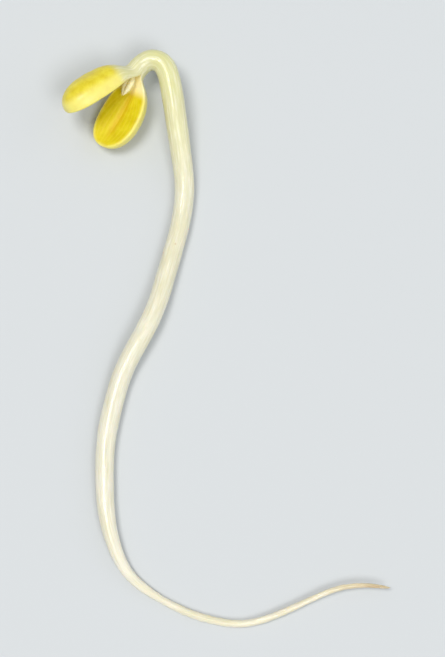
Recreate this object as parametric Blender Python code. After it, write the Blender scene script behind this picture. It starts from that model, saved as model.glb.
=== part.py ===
"""A soybean sprout of the kind sold for cooking, lying on its side on a flat surface.

Four pieces grew here. One solid runs from the crook under the seed leaves, down the long pale stem, to the
tip of the thin root. Two thick seed leaves gape at its upper end, and the folded first true leaves sit
between them. The surface is the plane z = 0. Seen from above, X runs to the right and Y towards the head,
and the origin lies on the surface at the middle of the sprout's box.
"""

import math

import bmesh
import bpy
import numpy as np
from mathutils import Matrix, Vector

MM = 0.001

# Stem and root: lengths along the centreline from the joint with the seed leaves, in millimetres
STEM_LENGTH = 80.0
ROOT_LENGTH = 42.0
SPROUT_LENGTH = STEM_LENGTH + ROOT_LENGTH
CROOK_DIAMETER = 3.2
STEM_DIAMETER = 2.9
COLLET_DIAMETER = 1.8
ROOT_DIAMETER = 1.15
TIP_DIAMETER = 0.5
RADII = (
    (0.0, 0.46 * CROOK_DIAMETER),
    (3.0, 0.5 * CROOK_DIAMETER),
    (11.0, 0.5 * CROOK_DIAMETER),
    (24.0, 0.5 * STEM_DIAMETER),
    (60.0, 0.49 * STEM_DIAMETER),
    (72.0, 0.44 * STEM_DIAMETER),
    (STEM_LENGTH, 0.5 * COLLET_DIAMETER),
    (88.0, 0.5 * ROOT_DIAMETER),
    (104.0, 0.45 * ROOT_DIAMETER),
    (SPROUT_LENGTH, 0.5 * TIP_DIAMETER),
)

# Each bend turns the centreline, seen from above: its middle, its spread, and its turn in degrees
HEAD_HEADING = 58.8
CROOK_BEND = (3.3, 1.8, -136.0)
UPPER_STEM_BEND = (30.0, 13.0, -44.0)
LOWER_STEM_BEND = (62.0, 10.0, 44.0)
COLLET_BEND = (84.0, 6.5, 62.0)
ROOT_BEND = (101.0, 6.0, 42.0)
TIP_BEND = (115.0, 3.0, -30.0)
BENDS = (CROOK_BEND, UPPER_STEM_BEND, LOWER_STEM_BEND, COLLET_BEND, ROOT_BEND, TIP_BEND)

# Height of the underside: the stem touches the surface at two bellies, and the root along an arc
PRESSED = -0.1
CLEARANCES = (
    (0.0, 3.35),
    (7.0, 3.5),
    (23.0, PRESSED),
    (35.0, PRESSED),
    (46.0, 0.8),
    (56.0, PRESSED),
    (68.0, PRESSED),
    (79.0, 0.5),
    (90.0, 0.5 * PRESSED),
    (100.0, 0.5 * PRESSED),
    (SPROUT_LENGTH, 1.3),
)
SAMPLES_PER_MM = 10
RADIUS_BLEND = 3
CLEARANCE_BLEND = 6
TUBE_SIDES = 18
RING_SPACING = 1.2
RING_TURN = 12.0
CAP_RINGS = 3
CAP_BULGE = 0.45

# Seed leaves: half beans, domed outside and slightly dished inside, on short stalks
LEAF_LENGTH = 11.2
LEAF_WIDTH = 6.9
LEAF_THICKNESS = 3.0
LEAF_WIDEST = 0.55
LEAF_SQUARENESS = 2.25
LEAF_RIM = 0.32
LEAF_DISH = 0.4
LEAF_GROOVE = 0.28
LEAF_GROOVE_SHARE = 0.16
LEAF_KIDNEY = 0.35
STALK_WIDTH = 2.1
STALK_THICKNESS = 0.9
STALK_OFFSET = 1.1
STALK_END = 0.16
STALK_END_SHRINK = 0.6
LEAF_STATIONS = 26
LEAF_SECTION = 28

# Each seed leaf's heading in plan and its pitch, and how far its upper side leans left of straight up
LOWER_HEADING = 241.0
LOWER_PITCH = -9.0
LOWER_LEAN = 22.0
UPPER_HEADING = 215.0
UPPER_PITCH = 5.0
UPPER_LEAN = 54.0
PARTING_LEAN = 40.0
HEAD_GAP = 0.3

# First true leaves: a folded pair on one short stalk, their two tips parted by a notch
BUD_LENGTH = 3.3
BUD_WIDTH = 1.8
BUD_THICKNESS = 0.85
BUD_WIDEST = 0.58
BUD_NOTCH = 0.4
BUD_CREASE = 0.35
BUD_STALK_WIDTH = 0.7
BUD_STALK_THICKNESS = 0.6
BUD_STATIONS = 14
BUD_SECTION = 16

WORLD_UP = Vector((0.0, 0.0, 1.0))


def clear_scene():
    for thing in list(bpy.data.objects):
        bpy.data.objects.remove(thing, do_unlink=True)


def blended(stations, at, blend):
    """Values set by hand at a few stations, joined by straight runs whose corners are rounded off."""
    values = np.interp(at, [place for place, _ in stations], [value for _, value in stations])
    reach = blend * SAMPLES_PER_MM
    window = np.hanning(2 * reach + 3)[1:-1]
    padded = np.pad(values, reach, mode="edge")
    return np.convolve(padded, window / window.sum(), mode="valid")


class Route:
    """Centreline of the stem and root: bends in plan, and heights above the surface."""

    def __init__(self):
        self.at = np.linspace(0.0, SPROUT_LENGTH, int(SPROUT_LENGTH * SAMPLES_PER_MM) + 1)
        self.heading = np.full(len(self.at), math.radians(HEAD_HEADING))
        for middle, spread, turn in BENDS:
            offsets = (self.at - middle) / (spread * math.sqrt(2.0))
            reached = np.array([0.5 + 0.5 * math.erf(offset) for offset in offsets])
            self.heading += math.radians(turn) * reached
        step = self.at[1] - self.at[0]
        mean_heading = 0.5 * (self.heading[1:] + self.heading[:-1])
        x = np.concatenate([[0.0], np.cumsum(np.cos(mean_heading) * step)])
        y = np.concatenate([[0.0], np.cumsum(np.sin(mean_heading) * step)])
        self.radii = blended(RADII, self.at, RADIUS_BLEND)
        z = self.radii + blended(CLEARANCES, self.at, CLEARANCE_BLEND)
        self.points = np.stack([x, y, z], axis=1)

    def point(self, place):
        return Vector([float(np.interp(place, self.at, self.points[:, axis])) for axis in range(3)])

    def radius(self, place):
        return float(np.interp(place, self.at, self.radii))

    def direction(self, place):
        reach = 1.0 / SAMPLES_PER_MM
        return (self.point(place + reach) - self.point(place - reach)).normalized()

    def ring_places(self):
        """Places for the rings: closer together where the tube turns fast."""
        turning = np.abs(np.gradient(np.degrees(self.heading), self.at))
        wanted = np.cumsum(1.0 / RING_SPACING + turning / RING_TURN) / SAMPLES_PER_MM
        wanted -= wanted[0]
        return np.interp(np.linspace(0.0, wanted[-1], int(wanted[-1]) + 1), wanted, self.at)


def skin(name, rings, first_pole, last_pole):
    """Mesh of one closed body: rings of points bridged in order, with a pole at each end."""
    shape = bmesh.new()
    ringed = [[shape.verts.new(point * MM) for point in ring] for ring in rings]
    count = len(ringed[0])
    for lower, upper in zip(ringed, ringed[1:]):
        for k in range(count):
            following = (k + 1) % count
            shape.faces.new((lower[k], lower[following], upper[following], upper[k]))
    for ring, pole in ((ringed[0], first_pole), (ringed[-1], last_pole)):
        tip = shape.verts.new(pole * MM)
        for k in range(count):
            shape.faces.new((ring[k], ring[(k + 1) % count], tip))
    bmesh.ops.recalc_face_normals(shape, faces=shape.faces)
    mesh = bpy.data.meshes.new(name)
    shape.to_mesh(mesh)
    shape.free()
    mesh.shade_smooth()
    mesh.set_sharp_from_angle(angle=math.radians(60.0))
    return mesh


def material(name, hex_colour, roughness):
    """Principled material from an sRGB colour."""
    parts = [int(hex_colour[k : k + 2], 16) / 255.0 for k in (1, 3, 5)]
    linear = [part / 12.92 if part <= 0.04045 else ((part + 0.055) / 1.055) ** 2.4 for part in parts]
    made = bpy.data.materials.new(name)
    made.use_nodes = True
    shader = made.node_tree.nodes["Principled BSDF"]
    shader.inputs["Base Color"].default_value = (*linear, 1.0)
    shader.inputs["Roughness"].default_value = roughness
    shader.inputs["Metallic"].default_value = 0.0
    return made


def place(mesh, look, placement, parent):
    """Object named after its mesh, at a placement given in millimetres."""
    made = bpy.data.objects.new(mesh.name, mesh)
    bpy.context.scene.collection.objects.link(made)
    mesh.materials.append(look)
    made.parent = parent
    made.location = placement.to_translation() * MM
    made.rotation_euler = placement.to_euler()
    return made


def centre_over_origin(parent, pieces):
    """Shift the parent so that the box round all the pieces stands centred on the origin."""
    bpy.context.view_layer.update()
    points = [piece.matrix_world @ vertex.co for piece in pieces for vertex in piece.data.vertices]
    middle = 0.5 * (np.min(points, axis=0) + np.max(points, axis=0))
    parent.location.x = -middle[0]
    parent.location.y = -middle[1]


def tube_ring(route, spot, shrink, beyond):
    """Ring round the centreline, no lower than the surface, so that a pressed belly has a flat."""
    along = route.direction(spot)
    side = WORLD_UP.cross(along).normalized()
    over = along.cross(side)
    radius = route.radius(spot)
    centre = route.point(spot) + along * (beyond * radius * CAP_BULGE)
    ring = []
    for k in range(TUBE_SIDES):
        # Half a step off, so that two columns of points straddle the underside
        turn = 2.0 * math.pi * (k + 0.5) / TUBE_SIDES
        point = centre + (over * math.cos(turn) + side * math.sin(turn)) * (radius * shrink)
        point.z = max(point.z, 0.0)
        ring.append(point)
    return ring


def stem_and_root(route):
    """Tube along the route, its two ends closed by shrinking rings."""
    turns = [0.5 * math.pi * k / (CAP_RINGS + 1) for k in range(1, CAP_RINGS + 1)]
    first_cap = [tube_ring(route, 0.0, math.cos(turn), -math.sin(turn)) for turn in reversed(turns)]
    last_cap = [tube_ring(route, SPROUT_LENGTH, math.cos(turn), math.sin(turn)) for turn in turns]
    body = [tube_ring(route, float(spot), 1.0, 0.0) for spot in route.ring_places()]
    first_pole = route.point(0.0) - route.direction(0.0) * (route.radius(0.0) * CAP_BULGE)
    last_bulge = route.radius(SPROUT_LENGTH) * CAP_BULGE
    last_pole = route.point(SPROUT_LENGTH) + route.direction(SPROUT_LENGTH) * last_bulge
    return skin("stem_and_root", first_cap + body + last_cap, first_pole, last_pole)


def oval(share, widest, power):
    """Half-width, as a share, of an oval whose widest place is off its middle."""
    bent = share ** (math.log(0.5) / math.log(widest))
    return (1.0 - abs(2.0 * bent - 1.0) ** power) ** (1.0 / power)


def leaf_ring(share):
    """Cross-section of a seed leaf: X along it, Y across it and Z out of its inner face."""
    swell = oval(share, LEAF_WIDEST, LEAF_SQUARENESS)
    stalk = (1.0 - share) ** 5
    half_width = math.hypot(0.5 * STALK_WIDTH * stalk, 0.5 * LEAF_WIDTH * swell)
    depth = math.hypot(0.7 * STALK_THICKNESS * stalk, LEAF_THICKNESS * swell**0.9)
    rim = min(LEAF_RIM, 0.35 * half_width)
    sway = LEAF_KIDNEY * math.sin(math.pi * share)
    ring = []
    for k in range(LEAF_SECTION):
        turn = 2.0 * math.pi * k / LEAF_SECTION
        across = math.cos(turn)
        if turn <= math.pi:
            # The outer dome
            height = -depth * math.sin(turn) ** 0.85
        else:
            # The inner face: a rolled rim, a shallow dish and a groove down the middle
            roll = min((1.0 - abs(across)) * half_width / rim, 1.0)
            height = rim * math.sqrt(1.0 - (1.0 - roll) ** 2)
            height -= LEAF_DISH * swell**2 * (1.0 - across * across) ** 2
            height -= LEAF_GROOVE * swell**2 * math.exp(-((across / LEAF_GROOVE_SHARE) ** 2))
        ring.append(Vector((LEAF_LENGTH * share, half_width * across + sway, height)))
    return ring


def rested(point, placement):
    """The same point, raised to the surface if the placement puts it below."""
    standing = placement @ point
    standing.z = max(standing.z, 0.0)
    return placement.inverted() @ standing


def seed_leaf(name, placement):
    """Half bean: stations crowd towards both ends, where its outline turns fastest."""
    rings = []
    for k in range(LEAF_STATIONS):
        share = k / LEAF_STATIONS
        even_ends = 0.5 * (1.0 - math.cos(math.pi * share))
        close_tip = math.sin(0.5 * math.pi * share)
        rings.append(leaf_ring(0.5 * (even_ends + close_tip)))
    foot = Vector((-STALK_END, 0.0, -0.2 * STALK_THICKNESS))
    base = [point * STALK_END_SHRINK + foot for point in rings[0]]
    rings = [[rested(point, placement) for point in ring] for ring in [base, *rings]]
    first_pole = Vector((-1.4 * STALK_END, 0.0, -0.3 * STALK_THICKNESS))
    last_pole = Vector((LEAF_LENGTH, 0.0, -0.3 * LEAF_RIM))
    return skin(name, rings, first_pole, last_pole)


def bud_ring(share):
    """Cross-section of the folded first leaves: a flat oval with a crease down each side."""
    swell = oval(share, BUD_WIDEST, 2.0)
    stalk = (1.0 - share) ** 4
    half_width = math.hypot(0.5 * BUD_STALK_WIDTH * stalk, 0.5 * BUD_WIDTH * swell)
    half_depth = math.hypot(0.5 * BUD_STALK_THICKNESS * stalk, 0.5 * BUD_THICKNESS * swell)
    ring = []
    for k in range(BUD_SECTION):
        turn = 2.0 * math.pi * k / BUD_SECTION
        across = math.cos(turn)
        crease = 1.0 - BUD_CREASE * swell * math.exp(-((across / 0.3) ** 2))
        length = BUD_LENGTH * share - BUD_NOTCH * share**6 * math.exp(-((across / 0.35) ** 2))
        ring.append(Vector((length, half_width * across, half_depth * math.sin(turn) * crease)))
    return ring


def plumule():
    shares = [0.5 * (1.0 - math.cos(math.pi * (k + 0.5) / BUD_STATIONS)) for k in range(BUD_STATIONS)]
    first_pole = Vector((0.0, 0.0, 0.0))
    last_pole = Vector((BUD_LENGTH - 1.2 * BUD_NOTCH, 0.0, 0.0))
    return skin("plumule", [bud_ring(share) for share in shares], first_pole, last_pole)


def leaned(heading, pitch, lean):
    """Direction along a heading and pitch, and the one out of the side that leans left of straight up."""
    turn = math.radians(heading)
    rise = math.radians(pitch)
    along = Vector((math.cos(turn) * math.cos(rise), math.sin(turn) * math.cos(rise), math.sin(rise)))
    upward = along.cross(WORLD_UP).normalized().cross(along)
    return along, Matrix.Rotation(math.radians(lean), 3, along) @ upward


def facing(foot, along, face):
    """Placement whose X runs along and whose Z points out of a face."""
    turned = Matrix((along, face.cross(along), face)).transposed()
    return Matrix.Translation(foot) @ turned.to_4x4()


def main():
    clear_scene()
    route = Route()
    pitch = -math.degrees(math.asin(route.direction(0.0).z))
    along, parting = leaned(HEAD_HEADING + 180.0, pitch, PARTING_LEAN)
    joint = route.point(0.0) + along * (route.radius(0.0) * CAP_BULGE + HEAD_GAP)
    lower_along, lower_face = leaned(LOWER_HEADING, LOWER_PITCH, LOWER_LEAN)
    upper_along, upper_dome = leaned(UPPER_HEADING, UPPER_PITCH, UPPER_LEAN)
    lower = facing(joint - parting * STALK_OFFSET, lower_along, lower_face)
    upper = facing(joint + parting * STALK_OFFSET, upper_along, -upper_dome)
    bud = facing(joint, along, parting)

    stem_look = material("moist translucent stem", "#E9E4C8", 0.38)
    upper_look = material("waxy yellow upper seed leaf", "#EFDD45", 0.42)
    lower_look = material("waxy yellow lower seed leaf", "#EBCF22", 0.42)
    bud_look = material("pale folded first leaves", "#F4E7C4", 0.5)
    middle = bpy.data.objects.new("middle_of_sprout", None)
    bpy.context.scene.collection.objects.link(middle)
    pieces = [
        place(stem_and_root(route), stem_look, Matrix.Identity(4), middle),
        place(seed_leaf("cotyledon_upper", upper), upper_look, upper, middle),
        place(seed_leaf("cotyledon_lower", lower), lower_look, lower, middle),
        place(plumule(), bud_look, bud, middle),
    ]
    centre_over_origin(middle, pieces)


main()
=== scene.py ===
# %% [markdown]
# A soybean sprout, dressed
#
# The sprout lies on its side. A hooked, translucent stem carries two gaping yellow seed leaves at one end
# and runs out into a thin root at the other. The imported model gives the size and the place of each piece,
# and this script replaces each plain solid by a finer surface with its real finish. Blender can model a
# plant by sculpting, but every form here follows a rule, so each surface is grown from its rule and stays
# easy to change. The sprout's own lengths are in millimetres until a mesh or a curve is made of them.

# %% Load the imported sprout
import math

import bpy
import numpy as np
from mathutils import Matrix, Vector, kdtree, noise


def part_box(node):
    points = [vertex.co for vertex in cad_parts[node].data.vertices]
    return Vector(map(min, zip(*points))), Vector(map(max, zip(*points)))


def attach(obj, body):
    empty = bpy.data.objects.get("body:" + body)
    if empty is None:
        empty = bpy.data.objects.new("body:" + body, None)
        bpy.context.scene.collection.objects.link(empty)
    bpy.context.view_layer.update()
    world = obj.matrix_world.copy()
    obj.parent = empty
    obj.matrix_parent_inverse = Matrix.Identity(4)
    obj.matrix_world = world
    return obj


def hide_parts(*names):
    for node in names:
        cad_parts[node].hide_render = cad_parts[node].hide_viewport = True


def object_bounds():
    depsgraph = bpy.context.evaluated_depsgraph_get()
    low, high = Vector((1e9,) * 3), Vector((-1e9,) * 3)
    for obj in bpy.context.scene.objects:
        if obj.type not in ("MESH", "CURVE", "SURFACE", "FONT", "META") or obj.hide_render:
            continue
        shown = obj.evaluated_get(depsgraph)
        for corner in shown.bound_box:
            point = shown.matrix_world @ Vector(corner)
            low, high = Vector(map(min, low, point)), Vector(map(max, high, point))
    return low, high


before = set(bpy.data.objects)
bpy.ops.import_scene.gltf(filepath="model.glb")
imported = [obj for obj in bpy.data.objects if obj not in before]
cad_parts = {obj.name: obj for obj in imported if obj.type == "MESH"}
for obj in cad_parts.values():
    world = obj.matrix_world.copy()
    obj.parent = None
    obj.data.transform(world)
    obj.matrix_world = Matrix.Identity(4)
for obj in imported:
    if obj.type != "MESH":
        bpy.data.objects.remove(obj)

MM = 0.001
PER_MM = 1000.0
WORLD_UP = Vector((0, 0, 1))

cad_low, cad_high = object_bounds()
print("solid box in mm", [round(value * PER_MM, 2) for value in (*cad_low, *cad_high)])

# %% [markdown]
# Three helpers serve every material and node tree
#
# Colours are picked as sRGB hex values, as in a paint program, but a shader works in linear light, so one
# function turns one into the other. The second fills a node's inputs, where a node that is given stands for
# its own first output. The third adds a node with its settings and links, so that a tree reads from top to
# bottom like a recipe.

# %% Helpers for colours and nodes


def linear(hex_colour):
    """Linear red, green, blue and alpha of an sRGB hex colour."""
    parts = [int(hex_colour[k : k + 2], 16) / 255.0 for k in (1, 3, 5)]
    return [part / 12.92 if part <= 0.04045 else ((part + 0.055) / 1.055) ** 2.4 for part in parts] + [1.0]


def fill(tree, node, inputs):
    """Set a node's inputs, in order or by name, to plain values or to links from sockets and nodes."""
    for key, value in inputs.items() if isinstance(inputs, dict) else enumerate(inputs):
        if isinstance(value, bpy.types.Node):
            value = value.outputs[0]
        if isinstance(value, bpy.types.NodeSocket):
            tree.links.new(value, node.inputs[key])
        else:
            node.inputs[key].default_value = value


def add(tree, kind, inputs=(), stops=(), **settings):
    """Add a node with its settings and its inputs, and, to a colour ramp, its stops."""
    node = tree.nodes.new(kind)
    for name, value in settings.items():
        setattr(node, name, value)
    fill(tree, node, inputs)
    if stops:
        ramp = node.color_ramp.elements
        while len(ramp) < len(stops):
            ramp.new(0.5)
        for element, (place, colour) in zip(ramp, stops):
            element.position = place
            element.color = linear(colour)
    return node


print("mid grey in linear light", [round(value, 3) for value in linear("#808080")])

# %% [markdown]
# The stem's route
#
# A stem that grew in the dark bends in a few places and runs almost straight between them. So its
# centreline is made of bends: each one turns the heading by an angle, spread about its middle. Adding up
# short steps along the heading gives the curve, and a second list gives how high the underside clears the
# surface. A spline through hand-set points would do too, but its bends would be harder to read and change.

# %% Thickness, bends and heights
STEM_LENGTH = 80.0
ROOT_LENGTH = 42.0
SPROUT_LENGTH = STEM_LENGTH + ROOT_LENGTH
CROOK_DIAMETER = 3.2
STEM_DIAMETER = 2.9
COLLET_DIAMETER = 1.8
ROOT_DIAMETER = 1.15
TIP_DIAMETER = 0.5
# Radius at distances from the joint with the seed leaves
RADII = (
    (0.0, 0.46 * CROOK_DIAMETER),
    (3.0, 0.5 * CROOK_DIAMETER),
    (11.0, 0.5 * CROOK_DIAMETER),
    (24.0, 0.5 * STEM_DIAMETER),
    (60.0, 0.49 * STEM_DIAMETER),
    (72.0, 0.44 * STEM_DIAMETER),
    (STEM_LENGTH, 0.5 * COLLET_DIAMETER),
    (88.0, 0.5 * ROOT_DIAMETER),
    (104.0, 0.45 * ROOT_DIAMETER),
    (SPROUT_LENGTH, 0.5 * TIP_DIAMETER),
)
HEAD_HEADING = 58.8
# Middle, spread and turn in degrees: of the crook, the stem twice, the collet, the root and its tip
BENDS = (
    (3.3, 1.8, -136.0),
    (30.0, 13.0, -44.0),
    (62.0, 10.0, 44.0),
    (84.0, 6.5, 62.0),
    (101.0, 6.0, 42.0),
    (115.0, 3.0, -30.0),
)
# Height of the underside, which is below zero where the sprout is pressed on the surface
PRESSED = -0.1
CLEARANCES = (
    (0.0, 3.35),
    (7.0, 3.5),
    (23.0, PRESSED),
    (35.0, PRESSED),
    (46.0, 0.8),
    (56.0, PRESSED),
    (68.0, PRESSED),
    (79.0, 0.5),
    (90.0, 0.5 * PRESSED),
    (100.0, 0.5 * PRESSED),
    (SPROUT_LENGTH, 1.3),
)
print("sprout of", SPROUT_LENGTH, "mm with", len(BENDS), "bends")

# %% Route of the stem and root
SAMPLES_PER_MM = 10
RADIUS_BLEND = 3
CLEARANCE_BLEND = 6


def blended(stations, at, blend):
    """Values given at a few stations, joined by straight runs whose corners are rounded off."""
    values = np.interp(at, [place for place, _ in stations], [value for _, value in stations])
    reach = blend * SAMPLES_PER_MM
    window = np.hanning(2 * reach + 3)[1:-1]
    padded = np.pad(values, reach, mode="edge")
    return np.convolve(padded, window / window.sum(), mode="valid")


def stem_route():
    """Places along the centreline, its points and its radii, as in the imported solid."""
    at = np.linspace(0.0, SPROUT_LENGTH, int(SPROUT_LENGTH * SAMPLES_PER_MM) + 1)
    heading = np.full(len(at), math.radians(HEAD_HEADING))
    for middle, spread, turn in BENDS:
        offsets = (at - middle) / (spread * math.sqrt(2.0))
        heading += math.radians(turn) * np.array([0.5 + 0.5 * math.erf(offset) for offset in offsets])
    step = at[1] - at[0]
    mean_heading = 0.5 * (heading[1:] + heading[:-1])
    x = np.concatenate([[0.0], np.cumsum(np.cos(mean_heading) * step)])
    y = np.concatenate([[0.0], np.cumsum(np.sin(mean_heading) * step)])
    radii = blended(RADII, at, RADIUS_BLEND)
    z = radii + blended(CLEARANCES, at, CLEARANCE_BLEND)
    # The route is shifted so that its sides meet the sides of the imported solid's box
    sideways = radii * np.abs(np.sin(heading))
    lengthways = radii * np.abs(np.cos(heading))
    low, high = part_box("stem_and_root")
    middle = 0.5 * PER_MM * (low + high)
    x += middle.x - 0.5 * ((x - sideways).min() + (x + sideways).max())
    y += middle.y - 0.5 * ((y - lengthways).min() + (y + lengthways).max())
    return at, np.stack([x, y, z], axis=1), radii


ROUTE_AT, ROUTE_POINTS, ROUTE_RADII = stem_route()


def route_spot(place):
    """Point and radius of the route at a distance from the joint."""
    point = Vector([float(np.interp(place, ROUTE_AT, ROUTE_POINTS[:, axis])) for axis in range(3)])
    return point, float(np.interp(place, ROUTE_AT, ROUTE_RADII))


print("joint at", ROUTE_POINTS[0].round(3), "mm, root tip at", ROUTE_POINTS[-1].round(3))

# %% [markdown]
# The head's directions
#
# The two seed leaves hang from the end of the stem like a beak. Each has a heading seen from above, a
# pitch, and a lean of its upper side. From these come the placements that turn a leaf drawn flat, along X
# with its inner face up, into its place.

# %% Directions and placements in the head
# Heading, pitch and lean of each seed leaf in degrees
LOWER_WAY = (241.0, -9.0, 22.0)
UPPER_WAY = (215.0, 5.0, 54.0)
PARTING_LEAN = 40.0
HEAD_GAP = 0.3
STALK_OFFSET = 1.1
CAP_BULGE = 0.45


def leaned(heading, pitch, lean):
    """Direction along a heading and pitch, and the one out of the side that leans left of straight up."""
    turn = math.radians(heading)
    rise = math.radians(pitch)
    along = Vector((math.cos(turn) * math.cos(rise), math.sin(turn) * math.cos(rise), math.sin(rise)))
    upward = along.cross(WORLD_UP).normalized().cross(along)
    return along, Matrix.Rotation(math.radians(lean), 3, along) @ upward


def facing(foot, along, face):
    """Placement whose X runs along and whose Z points out of a face."""
    turned = Matrix((along, face.cross(along), face)).transposed()
    return Matrix.Translation(foot) @ turned.to_4x4()


stem_end = Vector(ROUTE_POINTS[0])
end_way = (stem_end - Vector(ROUTE_POINTS[1])).normalized()
HEAD_WAY, PARTING = leaned(HEAD_HEADING + 180.0, math.degrees(math.asin(end_way.z)), PARTING_LEAN)
JOINT = stem_end + HEAD_WAY * (ROUTE_RADII[0] * CAP_BULGE + HEAD_GAP)
lower_along, lower_face = leaned(*LOWER_WAY)
upper_along, upper_dome = leaned(*UPPER_WAY)
LOWER_PLACE = facing(JOINT - PARTING * STALK_OFFSET, lower_along, lower_face)
UPPER_PLACE = facing(JOINT + PARTING * STALK_OFFSET, upper_along, -upper_dome)
BUD_PLACE = facing(JOINT, HEAD_WAY, PARTING)
print("seed leaves gape by", round(math.degrees(lower_face.angle(upper_dome)), 1), "degrees")

# %% [markdown]
# Camera, floor and light
#
# The sprout is laid down, so the camera looks down on it, with the head at the top as it hangs in the
# picture. A long lens keeps the stem's width even from end to end. The floor is plain and pale, but a
# shade darker than the stem, or the white stem would be lost on it. Sun lamps stand for big soft boxes far
# away, because their light doesn't fall off, so the floor stays even in every view, and a wide angle makes
# a soft shadow. The key comes from above, a little from the left, and draws the roundness. A second lamp
# from the lower right shines into the mouth between the seed leaves, and a weak third one opens the
# shadows on the right.

# %% Camera, floor and lamps
CAMERA_RISE = math.radians(79.0)
CAMERA_DISTANCE = 0.277
LENS = 105.0
CENTRE = 0.5 * (cad_low + cad_high)
# Each lamp's name, place in metres, angle in degrees, strength and colour
LAMPS = (
    ("key_lamp", (-0.10, 0.02, 0.38), 24.0, 1.65, "#FFFDF8"),
    ("mouth_lamp", (0.11, -0.18, 0.32), 26.0, 1.1, "#FFFFFF"),
    ("fill_lamp", (0.30, 0.05, 0.20), 50.0, 0.34, "#F6FAFF"),
)


def put(name, data):
    """New object at the origin that holds a mesh, a curve, a camera or a lamp."""
    made = bpy.data.objects.new(name, data)
    bpy.context.scene.collection.objects.link(made)
    return made


def aim(thing, place):
    """Move a camera or a lamp, whose own view runs down its Z axis, and turn it to the sprout's centre."""
    thing.location = place
    thing.rotation_euler = (thing.location - CENTRE).to_track_quat("Z", "Y").to_euler()


def new_finish(name):
    """New material, its node tree and its shader."""
    made = bpy.data.materials.new(name)
    made.use_nodes = True
    return made, made.node_tree, made.node_tree.nodes["Principled BSDF"]


camera = put("camera", bpy.data.cameras.new("camera"))
aim(camera, CENTRE + CAMERA_DISTANCE * Vector((0.0, -math.cos(CAMERA_RISE), math.sin(CAMERA_RISE))))
camera.data.lens = LENS
camera.data.clip_start = 0.01
bpy.context.scene.camera = camera

for name, place, angle, strength, colour in LAMPS:
    lamp = put(name, bpy.data.lights.new(name, "SUN"))
    aim(lamp, place)
    lamp.data.angle = math.radians(angle)
    lamp.data.energy = strength
    lamp.data.color = linear(colour)[:3]

world = bpy.data.worlds.new("studio air")
bpy.context.scene.world = world
world.use_nodes = True
fill(world.node_tree, world.node_tree.nodes["Background"], {"Color": linear("#F4F6F8"), "Strength": 0.42})
bpy.context.scene.view_settings.view_transform = "Standard"

# Matt painted board: even and without gloss, so that only the sprout shines
board, board_tree, board_shader = new_finish("matt painted board")
fill(board_tree, board_shader, {"Base Color": linear("#C8CCCF"), "Roughness": 0.7})
floor_mesh = bpy.data.meshes.new("floor")
floor_mesh.from_pydata([(-1, -1, 0), (1, -1, 0), (1, 1, 0), (-1, 1, 0)], [], [(0, 1, 2, 3)])
floor_mesh.materials.append(board)
put("floor", floor_mesh)
print("camera at", [round(value, 3) for value in camera.location], "lamps", len(LAMPS))

# %% [markdown]
# The look of the stem's skin
#
# A stem grown in the dark has no green in it. Its skin is one layer of long wet cells over watery flesh,
# so light goes in and comes out again: the eye sees a milky, glowing white with fine lengthwise lines. The
# crook, which meets some light, is yellow-green. Below the collet the root is duller, and its tip tans.
# The tube stores for each point its place round the ring and its distance from the joint. Every pattern is
# drawn on those, so that it follows the stem round its bends, which one drawn in space would not.

# %% Colours, lines and relief of the stem
STEM_TONES = (
    (0.0, "#D8D69A"),
    (5.0, "#D9D89E"),
    (13.0, "#DBD9AA"),
    (26.0, "#E2DFC8"),
    (66.0, "#E3E0CE"),
    (84.0, "#E8E3D2"),
    (104.0, "#EAE2CE"),
    (113.0, "#E2D8C2"),
    (119.0, "#CFBC9A"),
    (SPROUT_LENGTH, "#AE9672"),
)
# Real cells are finer than these lines, which are as coarse as they need to be to show
STRIA_WIDTH = 0.22
SPOT_SPACING = 1.6
SPOTS_LEFT_OUT = 0.82
# How patches, lines, freckles and grain are stretched: round the ring in X and Y, along the stem in Z
STRETCHES = ((0.7, 0.7, 0.16), (1.0, 1.0, 0.045), (1.5, 1.5, 1.0), (2.6, 2.6, 1.3))


def layered(tree, colour, layers):
    """Lay tones over a colour, each up to its most as its source goes from a start to an end."""
    for source, start, end, most, tone in layers:
        amount = add(tree, "ShaderNodeMapRange", [source, start, end, 0.0, most])
        mix = {0: amount, 6: colour, 7: linear(tone)}
        colour = add(tree, "ShaderNodeMix", mix, data_type="RGBA").outputs[2]
    return colour


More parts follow.
